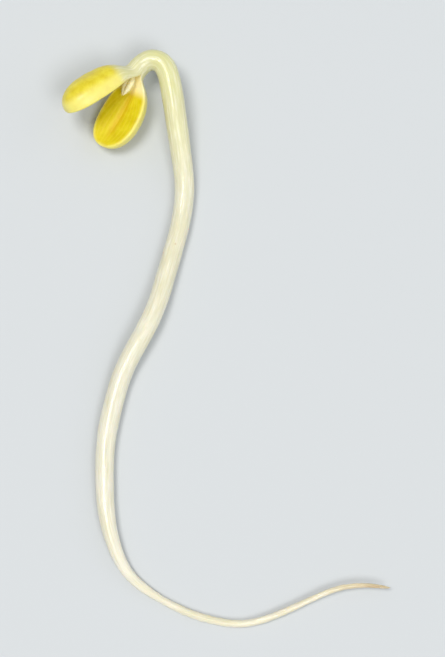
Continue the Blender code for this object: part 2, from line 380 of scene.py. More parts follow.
def stem_look(tree):
    """Colour, lengthwise lines and relief of the stem's skin, drawn on its stored places."""
    place = add(tree, "ShaderNodeAttribute", attribute_name="ring_place").outputs["Vector"]
    distance = add(tree, "ShaderNodeSeparateXYZ", [place]).outputs["Z"]
    share = add(tree, "ShaderNodeMath", [distance, SPROUT_LENGTH], operation="DIVIDE")
    tones = [(far / SPROUT_LENGTH, tone) for far, tone in STEM_TONES]
    ground = add(tree, "ShaderNodeValToRGB", [share], stops=tones)
    patch_place, line_place, spot_place, grain_place = [
        add(tree, "ShaderNodeMapping", {0: place, "Scale": stretch}) for stretch in STRETCHES
    ]
    patches = add(tree, "ShaderNodeTexNoise", {"Vector": patch_place, "Scale": 1.0, "Detail": 3.0})
    lines = add(tree, "ShaderNodeTexNoise", {
        "Vector": line_place, "Scale": 0.5 * STEM_DIAMETER / STRIA_WIDTH, "Detail": 4.0, "Roughness": 0.6,
    })
    # A few tan freckles, where cells were bruised: most of the spots that the pattern has are left out
    cells = add(tree, "ShaderNodeTexVoronoi", {"Vector": spot_place, "Scale": 1.0 / SPOT_SPACING}).outputs
    spots = add(tree, "ShaderNodeMapRange", [cells["Distance"], 0.05, 0.16, 1.0, 0.0])
    chance = add(tree, "ShaderNodeSeparateColor", [cells["Color"]])
    chosen = add(tree, "ShaderNodeMath", [chance, SPOTS_LEFT_OUT], operation="GREATER_THAN")
    freckles = add(tree, "ShaderNodeMath", [spots, chosen], operation="MULTIPLY")
    # Watery patches, pale lines, dull lines and freckles
    colour = layered(tree, ground, (
        (patches, 0.42, 0.66, 0.55, "#D6D2B0"),
        (lines, 0.5, 0.7, 0.5, "#F9F7EA"),
        (lines, 0.46, 0.3, 0.35, "#C9C49C"),
        (freckles, 0.0, 1.0, 0.4, "#B98E55"),
    ))
    grain = add(tree, "ShaderNodeTexNoise", {"Vector": grain_place, "Scale": 3.0, "Detail": 5.0})
    relief = add(tree, "ShaderNodeMath", [grain, 0.5, lines], operation="MULTIPLY_ADD")
    return colour, lines, relief, distance


print("tones along the stem:", len(STEM_TONES), "with lines", STRIA_WIDTH, "mm wide")

# %% [markdown]
# The finish of the stem and root
#
# The milkiness is subsurface scattering, and a thin coat gives the wet shine. The root is duller than the
# stem. Light that scatters can't cross from one mesh into the next, and would leave a dark seam where the
# seed leaves join, so the scattering fades out towards the joint. A mix with a translucent shader would
# glow too, but it would let the floor show through.

# %% Material of the stem and root
SKIN_RELIEF = 0.05 * MM


def grown_stem():
    """Moist stem: watery flesh under one layer of long cells, so milky, glowing and softly shining."""
    made, tree, shader = new_finish("moist translucent hypocotyl and root")
    colour, lines, relief, distance = stem_look(tree)
    dull = add(tree, "ShaderNodeMapRange", [distance, 74.0, 90.0, 0.28, 0.48])
    fill(tree, shader, {
        "Base Color": colour,
        "Roughness": add(tree, "ShaderNodeMath", [lines, 0.16, dull], operation="MULTIPLY_ADD"),
        "Normal": add(tree, "ShaderNodeBump", {"Height": relief, "Strength": 0.4, "Distance": SKIN_RELIEF}),
        "IOR": 1.38,
        "Subsurface Weight": add(tree, "ShaderNodeMapRange", [distance, 0.5, 5.0, 0.05, 0.75]),
        "Subsurface Radius": (1.0, 0.85, 0.6),
        "Subsurface Scale": 0.9 * MM,
        "Coat Weight": 0.45,
        "Coat Roughness": 0.09,
    })
    return made


stem_finish = grown_stem()
print("stem material has", len(stem_finish.node_tree.nodes), "nodes")

# %% [markdown]
# The stem and root as a grown tube
#
# The whole length grew as one body, so it is one tube, which Geometry Nodes sweep along the route. The
# curve's own radius sets the thickness. A living stem never keeps a perfect curve, so the route first
# wanders a little to each side, but not at the joint. The ring and the curve store their places before the
# sweep, which is simpler than finding them on the finished mesh. The place round the ring is kept as a
# cosine and a sine, because an angle would jump at its seam.

# %% Nodes that sweep a ring along the route
WANDERS_PER_MM = 0.065
STEADY_END = 4.0
WANDER_START = 18.0


def wandering_route(tree, given):
    """The curve with its distance from the joint stored on it, moved a little to each side."""
    upright = add(tree, "GeometryNodeSetCurveNormal", [given["Curve"]], mode="Z_UP")
    metres = add(tree, "GeometryNodeSplineParameter").outputs["Length"]
    distance = add(tree, "ShaderNodeMath", [metres, PER_MM], operation="MULTIPLY")
    marked = add(tree, "GeometryNodeStoreNamedAttribute", {
        "Geometry": upright, "Name": "distance", "Value": distance,
    })
    drift = add(tree, "ShaderNodeTexNoise", {
        "W": distance, "Scale": WANDERS_PER_MM, "Detail": 0.0,
    }, noise_dimensions="1D").outputs["Color"]
    centred = add(tree, "ShaderNodeVectorMath", [drift, (0.5, 0.5, 0.5)], operation="SUBTRACT")
    level = add(tree, "ShaderNodeVectorMath", [centred, (1.0, 1.0, 0.0)], operation="MULTIPLY")
    freed = add(tree, "ShaderNodeMapRange", [distance, STEADY_END, WANDER_START, 0.0, given["Wander"]])
    offset = add(tree, "ShaderNodeVectorMath", {0: level, "Scale": freed}, operation="SCALE")
    return add(tree, "GeometryNodeSetPosition", {0: marked, "Offset": offset})


def swept_ring(tree, given, route):
    """Tube along the route that stores its places: round the ring in X and Y, along the stem in Z."""
    ring = add(tree, "GeometryNodeCurvePrimitiveCircle", {"Resolution": given["Ring Sides"], "Radius": 1.0})
    round_share = add(tree, "GeometryNodeSplineParameter")
    angle = add(tree, "ShaderNodeMath", [round_share, math.tau], operation="MULTIPLY")
    cosine, sine = [add(tree, "ShaderNodeMath", [angle], operation=kind) for kind in ("COSINE", "SINE")]
    marked = add(tree, "GeometryNodeStoreNamedAttribute", {
        "Geometry": ring, "Name": "round_place", "Value": add(tree, "ShaderNodeCombineXYZ", [cosine, sine]),
    }, data_type="FLOAT_VECTOR")
    radius = add(tree, "GeometryNodeInputRadius")
    swept = add(tree, "GeometryNodeCurveToMesh", {"Curve": route, "Profile Curve": marked, "Scale": radius})
    sealed = add(tree, "GeometryNodeMergeByDistance", {0: swept, "Distance": 1.0e-6})
    around = add(tree, "GeometryNodeInputNamedAttribute", {"Name": "round_place"}, data_type="FLOAT_VECTOR")
    far = add(tree, "GeometryNodeInputNamedAttribute", {"Name": "distance"})
    lifted = add(tree, "ShaderNodeCombineXYZ", {2: far})
    place = add(tree, "ShaderNodeVectorMath", [around, lifted], operation="ADD")
    return add(tree, "GeometryNodeStoreNamedAttribute", {
        "Geometry": sealed, "Name": "ring_place", "Value": place,
    }, data_type="FLOAT_VECTOR")


print("the route wanders about once in", round(1.0 / WANDERS_PER_MM), "mm")

# %% [markdown]
# Relief, and rest on the surface
#
# Living tissue has slight lumps, its skin has long ridges, and the root has cross wrinkles. Each is noise
# drawn on the stored places, centred so that it goes in as far as out, and each grows to its own height
# along the stem. They are real relief and not only a bump in the material, so that they show in the
# outline too. Whatever would pass through the surface that the sprout lies on is pressed flat against it.

# %% Node tree that grows the tube
JOINT_RELIEF = (1.0, 6.0)
COLLET_END = 92.0


def relief_offset(tree, given):
    """How far each point of the tube moves along its normal: the sum of the three reliefs."""
    place = add(tree, "GeometryNodeInputNamedAttribute", {"Name": "ring_place"}, data_type="FLOAT_VECTOR")
    along = add(tree, "ShaderNodeSeparateXYZ", [place]).outputs["Z"]
    height = 0.0
    for name, stretch, detail, ends in (
        ("Lump Height", (0.7, 0.7, 0.13), 1.0, JOINT_RELIEF),
        ("Ridge Height", (2.4, 2.4, 0.07), 2.0, JOINT_RELIEF),
        ("Wrinkle Height", (0.9, 0.9, 1.5), 3.0, (given["Collet Place"], COLLET_END)),
    ):
        spot = add(tree, "ShaderNodeVectorMath", [place, stretch], operation="MULTIPLY")
        grain = add(tree, "ShaderNodeTexNoise", {"Vector": spot, "Scale": 1.0, "Detail": detail})
        centred = add(tree, "ShaderNodeMath", [grain, 0.5], operation="SUBTRACT")
        tall = add(tree, "ShaderNodeMapRange", [along, *ends, 0.0, given[name]])
        height = add(tree, "ShaderNodeMath", [centred, tall, height], operation="MULTIPLY_ADD")
    normal = add(tree, "GeometryNodeInputNormal")
    return add(tree, "ShaderNodeVectorMath", {0: normal, "Scale": height}, operation="SCALE")


def new_tree(name, inputs):
    """New Geometry Nodes tree with named inputs, each of its own kind, and one mesh output."""
    tree = bpy.data.node_groups.new(name, "GeometryNodeTree")
    for title, kind in inputs.items():
        tree.interface.new_socket(name=title, in_out="INPUT", socket_type="NodeSocket" + kind)
    tree.interface.new_socket(name="Mesh", in_out="OUTPUT", socket_type="NodeSocketGeometry")
    return tree, add(tree, "NodeGroupInput").outputs


def end_tree(tree, shape, skin):
    """Last nodes of a tree: smooth shading, real copies in place of instances, and the material."""
    smooth = add(tree, "GeometryNodeSetShadeSmooth", [shape])
    real = add(tree, "GeometryNodeRealizeInstances", [smooth])
    add(tree, "NodeGroupOutput", [add(tree, "GeometryNodeSetMaterial", {0: real, "Material": skin})])


def grown_tube():
    """Tree that sweeps a ring along a curve, with relief, and rests it on the surface at z = 0."""
    tree, given = new_tree("grown tube", {
        "Curve": "Geometry", "Wander": "Float", "Lump Height": "Float", "Ridge Height": "Float",
        "Wrinkle Height": "Float", "Collet Place": "Float", "Ring Sides": "Int", "Skin": "Material",
    })
    tube = swept_ring(tree, given, wandering_route(tree, given))
    uneven = add(tree, "GeometryNodeSetPosition", {0: tube, "Offset": relief_offset(tree, given)})
    spot = add(tree, "GeometryNodeInputPosition")
    x, y, z = add(tree, "ShaderNodeSeparateXYZ", [spot]).outputs
    floored = add(tree, "ShaderNodeMath", [z, 0.0], operation="MAXIMUM")
    resting = add(tree, "ShaderNodeCombineXYZ", [x, y, floored])
    end_tree(tree, add(tree, "GeometryNodeSetPosition", {0: uneven, "Position": resting}), given["Skin"])
    return tree


TUBE_TREE = grown_tube()
print("tube tree has", len(TUBE_TREE.nodes), "nodes")

# %% [markdown]
# Running the tree once
#
# The tree is put on a curve that holds the route, its inputs are set by the identifiers of their sockets,
# and the evaluated result is kept as a plain mesh. The curve and its modifier then go. Both ends are closed
# by radii that shrink like a quarter of an oval, so that no flat cap shows.

# %% Stem and root
RING_SPACING = 0.2
END_STEPS = 12
ROOT_CAP = 3.0
CAP_STEPS = 36
LEAST_SHARE = 1.0e-8


def route_curve():
    """Curve through the route, in metres, with a round end and a slim root cap given by its radii."""
    start_reach = ROUTE_RADII[0] * CAP_BULGE
    cap_start = SPROUT_LENGTH - ROOT_CAP
    cap_reach = ROOT_CAP + 0.5 * TIP_DIAMETER
    places = [-start_reach * math.cos(0.5 * math.pi * k / END_STEPS) for k in range(END_STEPS)]
    places += list(np.arange(0.0, cap_start, RING_SPACING))
    places += [cap_start + cap_reach * math.sin(0.5 * math.pi * k / CAP_STEPS) for k in range(CAP_STEPS + 1)]
    curve = bpy.data.curves.new("route", "CURVE")
    curve.dimensions = "3D"
    spline = curve.splines.new("POLY")
    spline.points.add(len(places) - 1)
    tip_way = Vector(ROUTE_POINTS[-1] - ROUTE_POINTS[-2]).normalized()
    for point, place in zip(spline.points, places):
        spot, radius = route_spot(min(max(place, 0.0), SPROUT_LENGTH))
        if place < 0.0:
            spot -= end_way * place
            radius *= math.sqrt(max(1.0 - (place / start_reach) ** 2, LEAST_SHARE))
        if place > SPROUT_LENGTH:
            spot += tip_way * (place - SPROUT_LENGTH)
        if place > cap_start:
            radius *= max(1.0 - ((place - cap_start) / cap_reach) ** 2.4, LEAST_SHARE) ** 0.6
        point.co = (*(spot * MM), 1.0)
        point.radius = radius * MM
    return put("route", curve)


def run_tree(carrier, tree, values, name):
    """Run a tree on an object and keep the result as a plain mesh object; the carrier is removed."""
    modifier = carrier.modifiers.new(tree.name, "NODES")
    modifier.node_group = tree
    for item in tree.interface.items_tree:
        if item.item_type == "SOCKET" and item.in_out == "INPUT" and item.name in values:
            modifier[item.identifier] = values[item.name]
    bpy.context.view_layer.update()
    evaluated = carrier.evaluated_get(bpy.context.evaluated_depsgraph_get())
    mesh = bpy.data.meshes.new_from_object(evaluated)
    mesh.name = name
    bpy.data.objects.remove(carrier, do_unlink=True)
    return put(name, mesh)


def stand_for(piece, node):
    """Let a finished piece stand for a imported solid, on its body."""
    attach(piece, "root")
    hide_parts(node)
    print(piece.name, "stands for", node, "with", len(piece.data.polygons), "faces")


stem = run_tree(route_curve(), TUBE_TREE, {
    "Ring Sides": 64,
    "Wander": 1.3 * MM,
    "Lump Height": 0.26 * MM,
    "Ridge Height": 0.12 * MM,
    "Wrinkle Height": 0.2 * MM,
    "Collet Place": 78.0,
    "Skin": stem_finish,
}, "hypocotyl_and_root")
stand_for(stem, "stem_and_root")

# %% [markdown]
# The finish of the seed leaves
#
# A seed leaf is a store of oil and protein under a thin waxy skin. Grown in the dark it is lemon yellow
# outside, faintly mottled, with a paler rim, and a deeper egg yellow on the smooth inner face. The groove
# down its middle is painted a darker, more orange yellow: partly its own tone and partly painted shade.
# Towards the stalk both fade, outside into the pale green of the crook and inside into cream, which is
# a painted highlight where the stalk meets the stem. The mesh stores where each point lies, and colours
# are mixed by those places. The wax gives a soft sheen and no sharp highlight.

# %% Material of the seed leaves
MOTTLE_SIZE = 1.1
# Real skin cells are finer than these, which are as coarse as they need to be to show
SKIN_CELL = 0.12


def stored(tree, name):
    """The three numbers that each point of a mesh holds under a name."""
    held = add(tree, "ShaderNodeAttribute", attribute_name=name).outputs["Vector"]
    return add(tree, "ShaderNodeSeparateXYZ", [held]).outputs


def leaf_colour(tree, mottle, groove, inner, rim, vein):
    """Lemon dome, pale rim, deep yellow inner face with veins, and a groove partly in painted shade."""
    dome = add(tree, "ShaderNodeValToRGB", [mottle], stops=(
        (0.3, "#D9C41E"), (0.46, "#E1CF2C"), (0.6, "#E7D83A"), (0.75, "#ECDF54"),
    ))
    flesh = add(tree, "ShaderNodeValToRGB", [mottle], stops=(
        (0.3, "#D6C000"), (0.5, "#DCCA00"), (0.72, "#E3D41C"),
    ))
    outside = layered(tree, dome, [(rim, 0.0, 1.0, 0.6, "#F4EC96")])
    # The groove's darker, more orange tone is partly its own and partly painted shade of the groove
    inside = layered(tree, flesh, [(groove, 0.0, 1.0, 0.6, "#D8AA00"), (vein, 0.0, 1.0, 0.4, "#F0DC48")])
    return add(tree, "ShaderNodeMix", {0: inner, 6: outside, 7: inside}, data_type="RGBA").outputs[2]


def seed_leaf_skin():
    """Waxy skin over oily flesh: a soft sheen, and light that goes in a little way."""
    made, tree, shader = new_finish("waxy skin of a yellow seed leaf")
    share, inward, groove = stored(tree, "leaf_place")
    inner, rim, vein = stored(tree, "leaf_marks")
    spot = add(tree, "ShaderNodeTexCoord").outputs["Object"]
    mottle = add(tree, "ShaderNodeTexNoise", {
        "Vector": spot, "Scale": PER_MM / MOTTLE_SIZE, "Detail": 4.0, "Roughness": 0.55,
    })
    cells = add(tree, "ShaderNodeTexNoise", {"Vector": spot, "Scale": PER_MM / SKIN_CELL, "Detail": 3.0})
    pores = add(tree, "ShaderNodeMath", [mottle, 1.6, cells], operation="MULTIPLY_ADD")
    leaf = leaf_colour(tree, mottle, groove, inner, rim, vein)
    # Towards the stalk the stem's own look takes over, with cream on the inside as a painted highlight
    stalkward = add(tree, "ShaderNodeMapRange", [share, 0.09, 0.24, 1.0, 0.0],
                    interpolation_type="SMOOTHSTEP")
    stem_colour, _, stem_relief, _ = stem_look(tree)
    base = layered(tree, stem_colour, [(inward, 0.0, 1.0, 1.0, "#FFF0B4")])
    colour = add(tree, "ShaderNodeMix", {0: stalkward, 6: leaf, 7: base}, data_type="RGBA").outputs[2]
    height = add(tree, "ShaderNodeMix", {0: stalkward, 2: pores, 3: stem_relief}, data_type="FLOAT")
    dull = add(tree, "ShaderNodeMath", [inner, 0.14, 0.24], operation="MULTIPLY_ADD")
    fill(tree, shader, {
        "Base Color": colour,
        "Roughness": add(tree, "ShaderNodeMath", [mottle, 0.24, dull], operation="MULTIPLY_ADD"),
        "Normal": add(tree, "ShaderNodeBump", {"Height": height, "Strength": 0.3, "Distance": SKIN_RELIEF}),
        "IOR": 1.42,
        "Subsurface Weight": add(tree, "ShaderNodeMapRange", [share, 0.0, 0.3, 0.05, 0.45]),
        "Subsurface Radius": (1.0, 0.8, 0.25),
        "Subsurface Scale": 0.7 * MM,
        "Coat Weight": 0.1,
        "Coat Roughness": 0.25,
    })
    return made


leaf_finish = seed_leaf_skin()
print("seed leaf material has", len(leaf_finish.node_tree.nodes), "nodes")

# %% [markdown]
# The outline and veins of a seed leaf
#
# Each seed leaf is half a bean: domed outside, flat to slightly dished inside, with a rolled rim, a groove
# down the middle of the inner face and a short thick stalk. Fine veins leave the stalk at the middle and
# bow out to their own shares of the width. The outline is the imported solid's own rule, so the finer
# surface keeps its size.

# %% Outline and veins
LEAF_LENGTH = 11.2
LEAF_WIDTH = 6.9
LEAF_THICKNESS = 3.0
LEAF_WIDEST = 0.55
LEAF_SQUARENESS = 2.25
STALK_WIDTH = 2.1
STALK_THICKNESS = 0.9
VEIN_COUNT = 9
VEIN_REACH = 0.86
VEIN_FAN_END = 0.75
VEIN_HALF_WIDTH = 0.022


def oval(share, widest, power):
    """Half-width, as a share, of an oval whose widest place is off its middle."""
    bent = share ** (math.log(0.5) / math.log(widest))
    return (1.0 - abs(2.0 * bent - 1.0) ** power) ** (1.0 / power)


def leaf_half_width(share):
    """Half the width of a seed leaf at a share of its length."""
    swell = oval(share, LEAF_WIDEST, LEAF_SQUARENESS)
    return math.hypot(0.5 * STALK_WIDTH * (1.0 - share) ** 5, 0.5 * LEAF_WIDTH * swell)


def vein_strength(share, across):
    """How close a place on a seed leaf is to one of its veins, from 0 to 1."""
    if share <= 0.0:
        return 0.0
    spread = math.sin(0.5 * math.pi * min(share / VEIN_FAN_END, 1.0)) ** 0.8
    nearest = 0.0
    for k in range(VEIN_COUNT):
        goal = VEIN_REACH * (2.0 * k / (VEIN_COUNT - 1) - 1.0)
        gap = (across - goal * spread) * (0.35 + 0.65 * math.sin(math.pi * min(share, 0.98)))
        nearest = max(nearest, math.exp(-((gap / VEIN_HALF_WIDTH) ** 2)))
    return nearest * math.sin(math.pi * min(share, 1.0)) ** 0.5


print("seed leaf", round(2.0 * leaf_half_width(LEAF_WIDEST), 2), "mm wide, with", VEIN_COUNT, "veins")

# %% [markdown]
# The surface of a seed leaf
#
# The mesh is made slice by slice across the leaf. Sculpted relief comes from formulas: broad dents where
# the flesh has given up food to the stem, the veins, and the shallow bed in which the first leaves lay. A
# subdivided cage would be smooth too, but could not hold the veins.

# %% Slices of a seed leaf
LEAF_RIM = 0.32
PALE_RIM = 0.62
LEAF_DISH = 0.4
LEAF_GROOVE = 0.14
LEAF_GROOVE_SHARE = 0.16
LEAF_KIDNEY = 0.35
DENTS_PER_MM = 0.28
DOME_DENT = 0.16
DOME_VEIN = 0.02
FACE_DENT = 0.07
FACE_VEIN = 0.022
BED_PLACE = 1.9
BED_HALF_LENGTH = 1.3
BED_HALF_WIDTH = 0.85
BED_DEPTH = 0.16
LEAF_SLICES = 150
LEAF_SLICE_POINTS = 132
TURNS = [math.tau * k / LEAF_SLICE_POINTS for k in range(LEAF_SLICE_POINTS)]
JOIN_SHARE = 0.13


def leaf_slice(share, seed):
    """One slice of a seed leaf: its points, with their places and their marks."""
    swell = oval(share, LEAF_WIDEST, LEAF_SQUARENESS)
    half_width = leaf_half_width(share)
    depth = math.hypot(0.7 * STALK_THICKNESS * (1.0 - share) ** 5, LEAF_THICKNESS * swell**0.9)
    sway = LEAF_KIDNEY * math.sin(math.pi * share)
    # The outline's slope turns a distance across the slice into one to the rim itself
    step = 1.0e-5
    slope = -100.0
    if share < 0.9999:
        slope = (leaf_half_width(share + step) - half_width) / (step * LEAF_LENGTH)
    to_rim = half_width / math.hypot(1.0, slope)
    to_tip = LEAF_LENGTH * (1.0 - share)
    groove_fade = min(max((0.97 - share) / 0.25, 0.0), 1.0) * min(share / 0.2, 1.0)
    points, places, marks = [], [], []
    for turn in TURNS:
        across = math.cos(turn)
        y = half_width * across + sway
        x = LEAF_LENGTH * share
        edge = min((1.0 - abs(across)) * to_rim, to_tip)
        groove = groove_fade * math.exp(-((across / LEAF_GROOVE_SHARE) ** 2))
        vein = vein_strength(share, across)
        dent_place = Vector((DENTS_PER_MM * x, DENTS_PER_MM * y, seed + 0.2 * math.sin(turn)))
        dent = noise.fractal(dent_place, 1.0, 2.0, 2)
        if math.sin(turn) >= 0.0:
            # The outer dome
            z = -depth * math.sin(turn) ** 0.85
            z += (DOME_DENT * dent - DOME_VEIN * vein) * swell * math.sin(turn) ** 0.5
            inner = 0.0
        else:
            # The inner face: a rolled rim, a shallow dish, a groove and the bed of the first leaves
            roll = min(edge / LEAF_RIM, 1.0)
            z = LEAF_RIM * math.sqrt(1.0 - (1.0 - roll) ** 2)
            z -= (LEAF_DISH * (1.0 - across * across) ** 2 + LEAF_GROOVE * groove) * swell**2
            bed = math.exp(-(((x - BED_PLACE) / BED_HALF_LENGTH) ** 2) - ((y / BED_HALF_WIDTH) ** 2))
            z -= BED_DEPTH * bed * min(max(share, 0.0) / 0.05, 1.0)
            z += (FACE_DENT * dent - FACE_VEIN * vein) * swell * roll
            inner = min(edge / PALE_RIM, 1.0) ** 1.5
        points.append(Vector((x, y, z)))
        places.append((share, max(-math.sin(turn), 0.0) ** 0.5, groove))
        marks.append((inner, math.exp(-((edge / (0.9 * PALE_RIM)) ** 2)) if inner < 1.0 else 0.0, vein))
    return points, places, marks


def leaf_stations():
    """Shares of the length for the slices, closest together where the outline turns fastest."""
    shares = []
    for k in range(LEAF_SLICES):
        share = k / LEAF_SLICES
        even_ends = 0.5 * (1.0 - math.cos(math.pi * share))
        close_tip = math.sin(0.5 * math.pi * share)
        shares.append(0.5 * (even_ends + close_tip))
    return [share for share in shares if share > JOIN_SHARE]


print("slices past the join:", len(leaf_stations()))

# %% [markdown]
# Growing the seed leaves onto the stem
#
# On a real sprout there is no step where a seed leaf meets the stem: its base clasps half of the stem's
# end and flows into it. So the slices go on past the leaf, as half rings that hug the stem and sink under
# its skin. Each point of a half ring takes over the place that the nearest point of the stem stores, so
# that the stem's lines run on into the leaf.

# %% Half rings that clasp the stem
BASE_REACH = 3.4
BASE_PROUD = 0.07
BASE_SINK = 0.2
BASE_ARCH = 0.3
BASE_GAP = 0.02

FINDER = kdtree.KDTree(len(stem.data.vertices))
for index, vertex in enumerate(stem.data.vertices):
    FINDER.insert(vertex.co, index)
FINDER.balance()
STEM_PLACES = [tuple(item.vector) for item in stem.data.attributes["ring_place"].data]


def clasping_ring(distance, face):
    """Half ring on the stem's side away from a face direction, its stem places and the stem's direction."""
    centre, stem_radius = route_spot(distance)
    along = (centre - route_spot(distance + 0.1)[0]).normalized()
    level_face = (face - face.dot(along) * along).normalized()
    across = level_face.cross(along)
    sunk = (distance / BASE_REACH) ** 1.3
    ring = []
    for turn in TURNS:
        # The sides sink first, so that the base ends in an arch
        sinking = sunk + BASE_ARCH * (1.0 - abs(math.sin(turn)))
        radius = stem_radius + BASE_PROUD - (BASE_PROUD + BASE_SINK) * sinking
        height = -radius * math.sin(turn) if math.sin(turn) >= 0.0 else 0.0
        ring.append(centre + across * (radius * math.cos(turn)) + level_face * (height - BASE_GAP))
    found = [STEM_PLACES[FINDER.find(point * MM)[1]] for point in ring]
    return ring, [(x, y, distance) for x, y, _ in found], along


print("the bases clasp", BASE_REACH, "mm of the stem, which has", len(STEM_PLACES), "points")

# %% [markdown]
# From the stem to the tip of a seed leaf
#
# The stretch between the last half ring and the first real slice is a smooth cubic from point to point,
# which starts along the stem and ends along the leaf. A Boolean union would join two bodies too, but it
# would leave a crease. Whatever would reach below the surface is laid flat on it.

# %% Rings of a whole seed leaf
BASE_RINGS = 22
JOIN_RINGS = 26
JOIN_SPAN = 2.5
NEXT_SHARE = 0.01


def flowing_ring(t, starts, along, goals, afters):
    """Ring at a share t of the way from the last half ring to the first slice."""
    ring = []
    for start, goal, after in zip(starts, goals, afters):
        span = (goal - start).length
        leave = along * span
        arrive = (after - goal) * (span / (NEXT_SHARE * LEAF_LENGTH))
        ring.append(start * (2 * t**3 - 3 * t**2 + 1) + leave * (t**3 - 2 * t**2 + t)
                    + goal * (3 * t**2 - 2 * t**3) + arrive * (t**3 - t**2))
    return ring


def seed_leaf_rings(placement, face, seed):
    """All rings of a seed leaf in its place, with their leaf places, leaf marks and stem places."""

    def placed_slice(share):
        points, slice_places, slice_marks = leaf_slice(share, seed)
        return [placement @ point for point in points], slice_places, slice_marks

    first_ring, first_places, first_marks = placed_slice(JOIN_SHARE)
    next_ring, _, _ = placed_slice(JOIN_SHARE + NEXT_SHARE)
    bare_marks = [(0.0, 0.0, 0.0)] * LEAF_SLICE_POINTS
    slices = []
    for k in range(BASE_RINGS):
        distance = BASE_REACH * (1.0 - k / (BASE_RINGS - 1))
        end_ring, spots, along = clasping_ring(distance, face)
        base_places = [(-distance / LEAF_LENGTH, inward, 0.0) for _, inward, _ in first_places]
        slices.append((end_ring, base_places, bare_marks, spots))
    for j in range(1, JOIN_RINGS):
        t = j / JOIN_RINGS
        ring = flowing_ring(t, end_ring, along, first_ring, next_ring)
        join_places = [(JOIN_SHARE * t, inward, 0.0) for _, inward, _ in first_places]
        join_marks = [tuple(value * t for value in mark) for mark in first_marks]
        slices.append((ring, join_places, join_marks, [(x, y, -JOIN_SPAN * t) for x, y, _ in spots]))
    for share in [JOIN_SHARE] + leaf_stations():
        beyond = JOIN_SPAN + (share - JOIN_SHARE) * LEAF_LENGTH
        slices.append((*placed_slice(share), [(x, y, -beyond) for x, y, _ in spots]))
    for ring, _, _, _ in slices:
        for point in ring:
            point.z = max(point.z, 0.0)
    return zip(*slices)


print("rings before the first slice:", BASE_RINGS + JOIN_RINGS - 1)

# %% [markdown]
# Closing the seed leaves
#
# Rings bridged in order, with a pole at each end, make one closed body. The values that the material reads
# are stored on its points. The sign of its volume tells whether its faces point out.

# %% Seed leaves


def closed_skin(name, rings, first_pole, last_pole, attributes, finish):
    """Mesh object of rings bridged in order with a pole at each end, with vector attributes."""
    count = len(rings[0])
    points = [point for ring in rings for point in ring] + [first_pole, last_pole]
    first = len(points) - 2
    last_ring = first - count
    pairs = [(k, (k + 1) % count) for k in range(count)]
    faces = []
    for low in range(0, last_ring, count):
        faces += [(low + k, low + after, low + count + after, low + count + k) for k, after in pairs]
    for k, after in pairs:
        faces += [(after, k, first), (last_ring + k, last_ring + after, first + 1)]
    mesh = bpy.data.meshes.new(name)
    mesh.from_pydata([point * MM for point in points], [], faces)
    for attribute, values in attributes.items():
        held = [value for ring in values for value in ring] + [values[0][0], values[-1][0]]
        layer = mesh.attributes.new(attribute, "FLOAT_VECTOR", "POINT")
        layer.data.foreach_set("vector", np.array(held, dtype=np.float32).ravel())
    if sum(face.center.dot(face.normal) * face.area for face in mesh.polygons) < 0.0:
        mesh.flip_normals()
    mesh.shade_smooth()
    mesh.materials.append(finish)
    return put(name, mesh)


for name, node, placement, face, seed in (
    ("upper_seed_leaf", "cotyledon_upper", UPPER_PLACE, -PARTING, 3.7),
    ("lower_seed_leaf", "cotyledon_lower", LOWER_PLACE, PARTING, 8.2),
):
    rings, places, marks, stem_spots = seed_leaf_rings(placement, face, seed)
    first_pole = sum(rings[0], Vector()) / LEAF_SLICE_POINTS
    last_pole = placement @ Vector((LEAF_LENGTH, 0.0, -0.03))
    held = {"leaf_place": places, "leaf_marks": marks, "ring_place": stem_spots}
    stand_for(closed_skin(name, rings, first_pole, last_pole, held, leaf_finish), node)

# %% [markdown]
# The finish of the first leaves
#
# Between the seed leaves the first two true leaves wait, pressed face to face. No light has reached them,
# so they are cream, with veins a shade yellower. Their thin soft tissue lets more light through than a
# seed leaf does.

# %% Material of the first leaves
BUD_MOTTLE = 0.5


def bud_finish():
    """Soft tissue that has seen no light: cream and matt, and light goes well into it."""
    made, tree, shader = new_finish("soft cream leaf tissue")
    share, vein, _ = stored(tree, "bud_marks")
    spot = add(tree, "ShaderNodeTexCoord").outputs["Object"]
    mottle = add(tree, "ShaderNodeTexNoise", {"Vector": spot, "Scale": PER_MM / BUD_MOTTLE, "Detail": 3.0})
    ground = add(tree, "ShaderNodeValToRGB", [mottle], stops=(
        (0.35, "#FCEFBC"), (0.55, "#FFF5CC"), (0.75, "#FFF9E0"),
    ))
    fill(tree, shader, {
        "Base Color": layered(tree, ground, (
            (vein, 0.0, 1.0, 0.55, "#F2E6A8"),
            (share, 0.4, 0.05, 0.8, "#F4EDBC"),
        )),
        "Roughness": add(tree, "ShaderNodeMath", [mottle, 0.2, 0.4], operation="MULTIPLY_ADD"),
        "Normal": add(tree, "ShaderNodeBump", {"Height": mottle, "Strength": 0.35, "Distance": 0.04 * MM}),
        "IOR": 1.4,
        "Subsurface Weight": 0.35,
        "Subsurface Radius": (1.0, 0.9, 0.7),
        "Subsurface Scale": 0.3 * MM,
    })
    return made


bud_skin = bud_finish()
print("first leaf material has", len(bud_skin.node_tree.nodes), "nodes")

# %% [markdown]
# The first true leaves
#
# Each is folded along its midrib, which makes a keel on the outside, and the margins of the two meet in a
# seam. From the keel the veins slant towards the pointed tip and stand a little proud, as they do on the
# back of any leaf. One rule of rings makes both, mirrored, and only at the tips they part a little.

# %% Folded first leaves
BUD_LENGTH = 3.3
BUD_WIDTH = 1.8
BUD_THICKNESS = 0.85
BUD_STALK_WIDTH = 0.72
BUD_STALK_THICKNESS = 0.44
# One leaf takes a little less than half of the bud's width, because of the seam
LEAF_SHARE = 0.49
BUD_SEAM = 0.015
TIP_PARTING = 0.1
BUD_DROOP = 0.25
BUD_SLICES = 110
BUD_SLICE_POINTS = 72
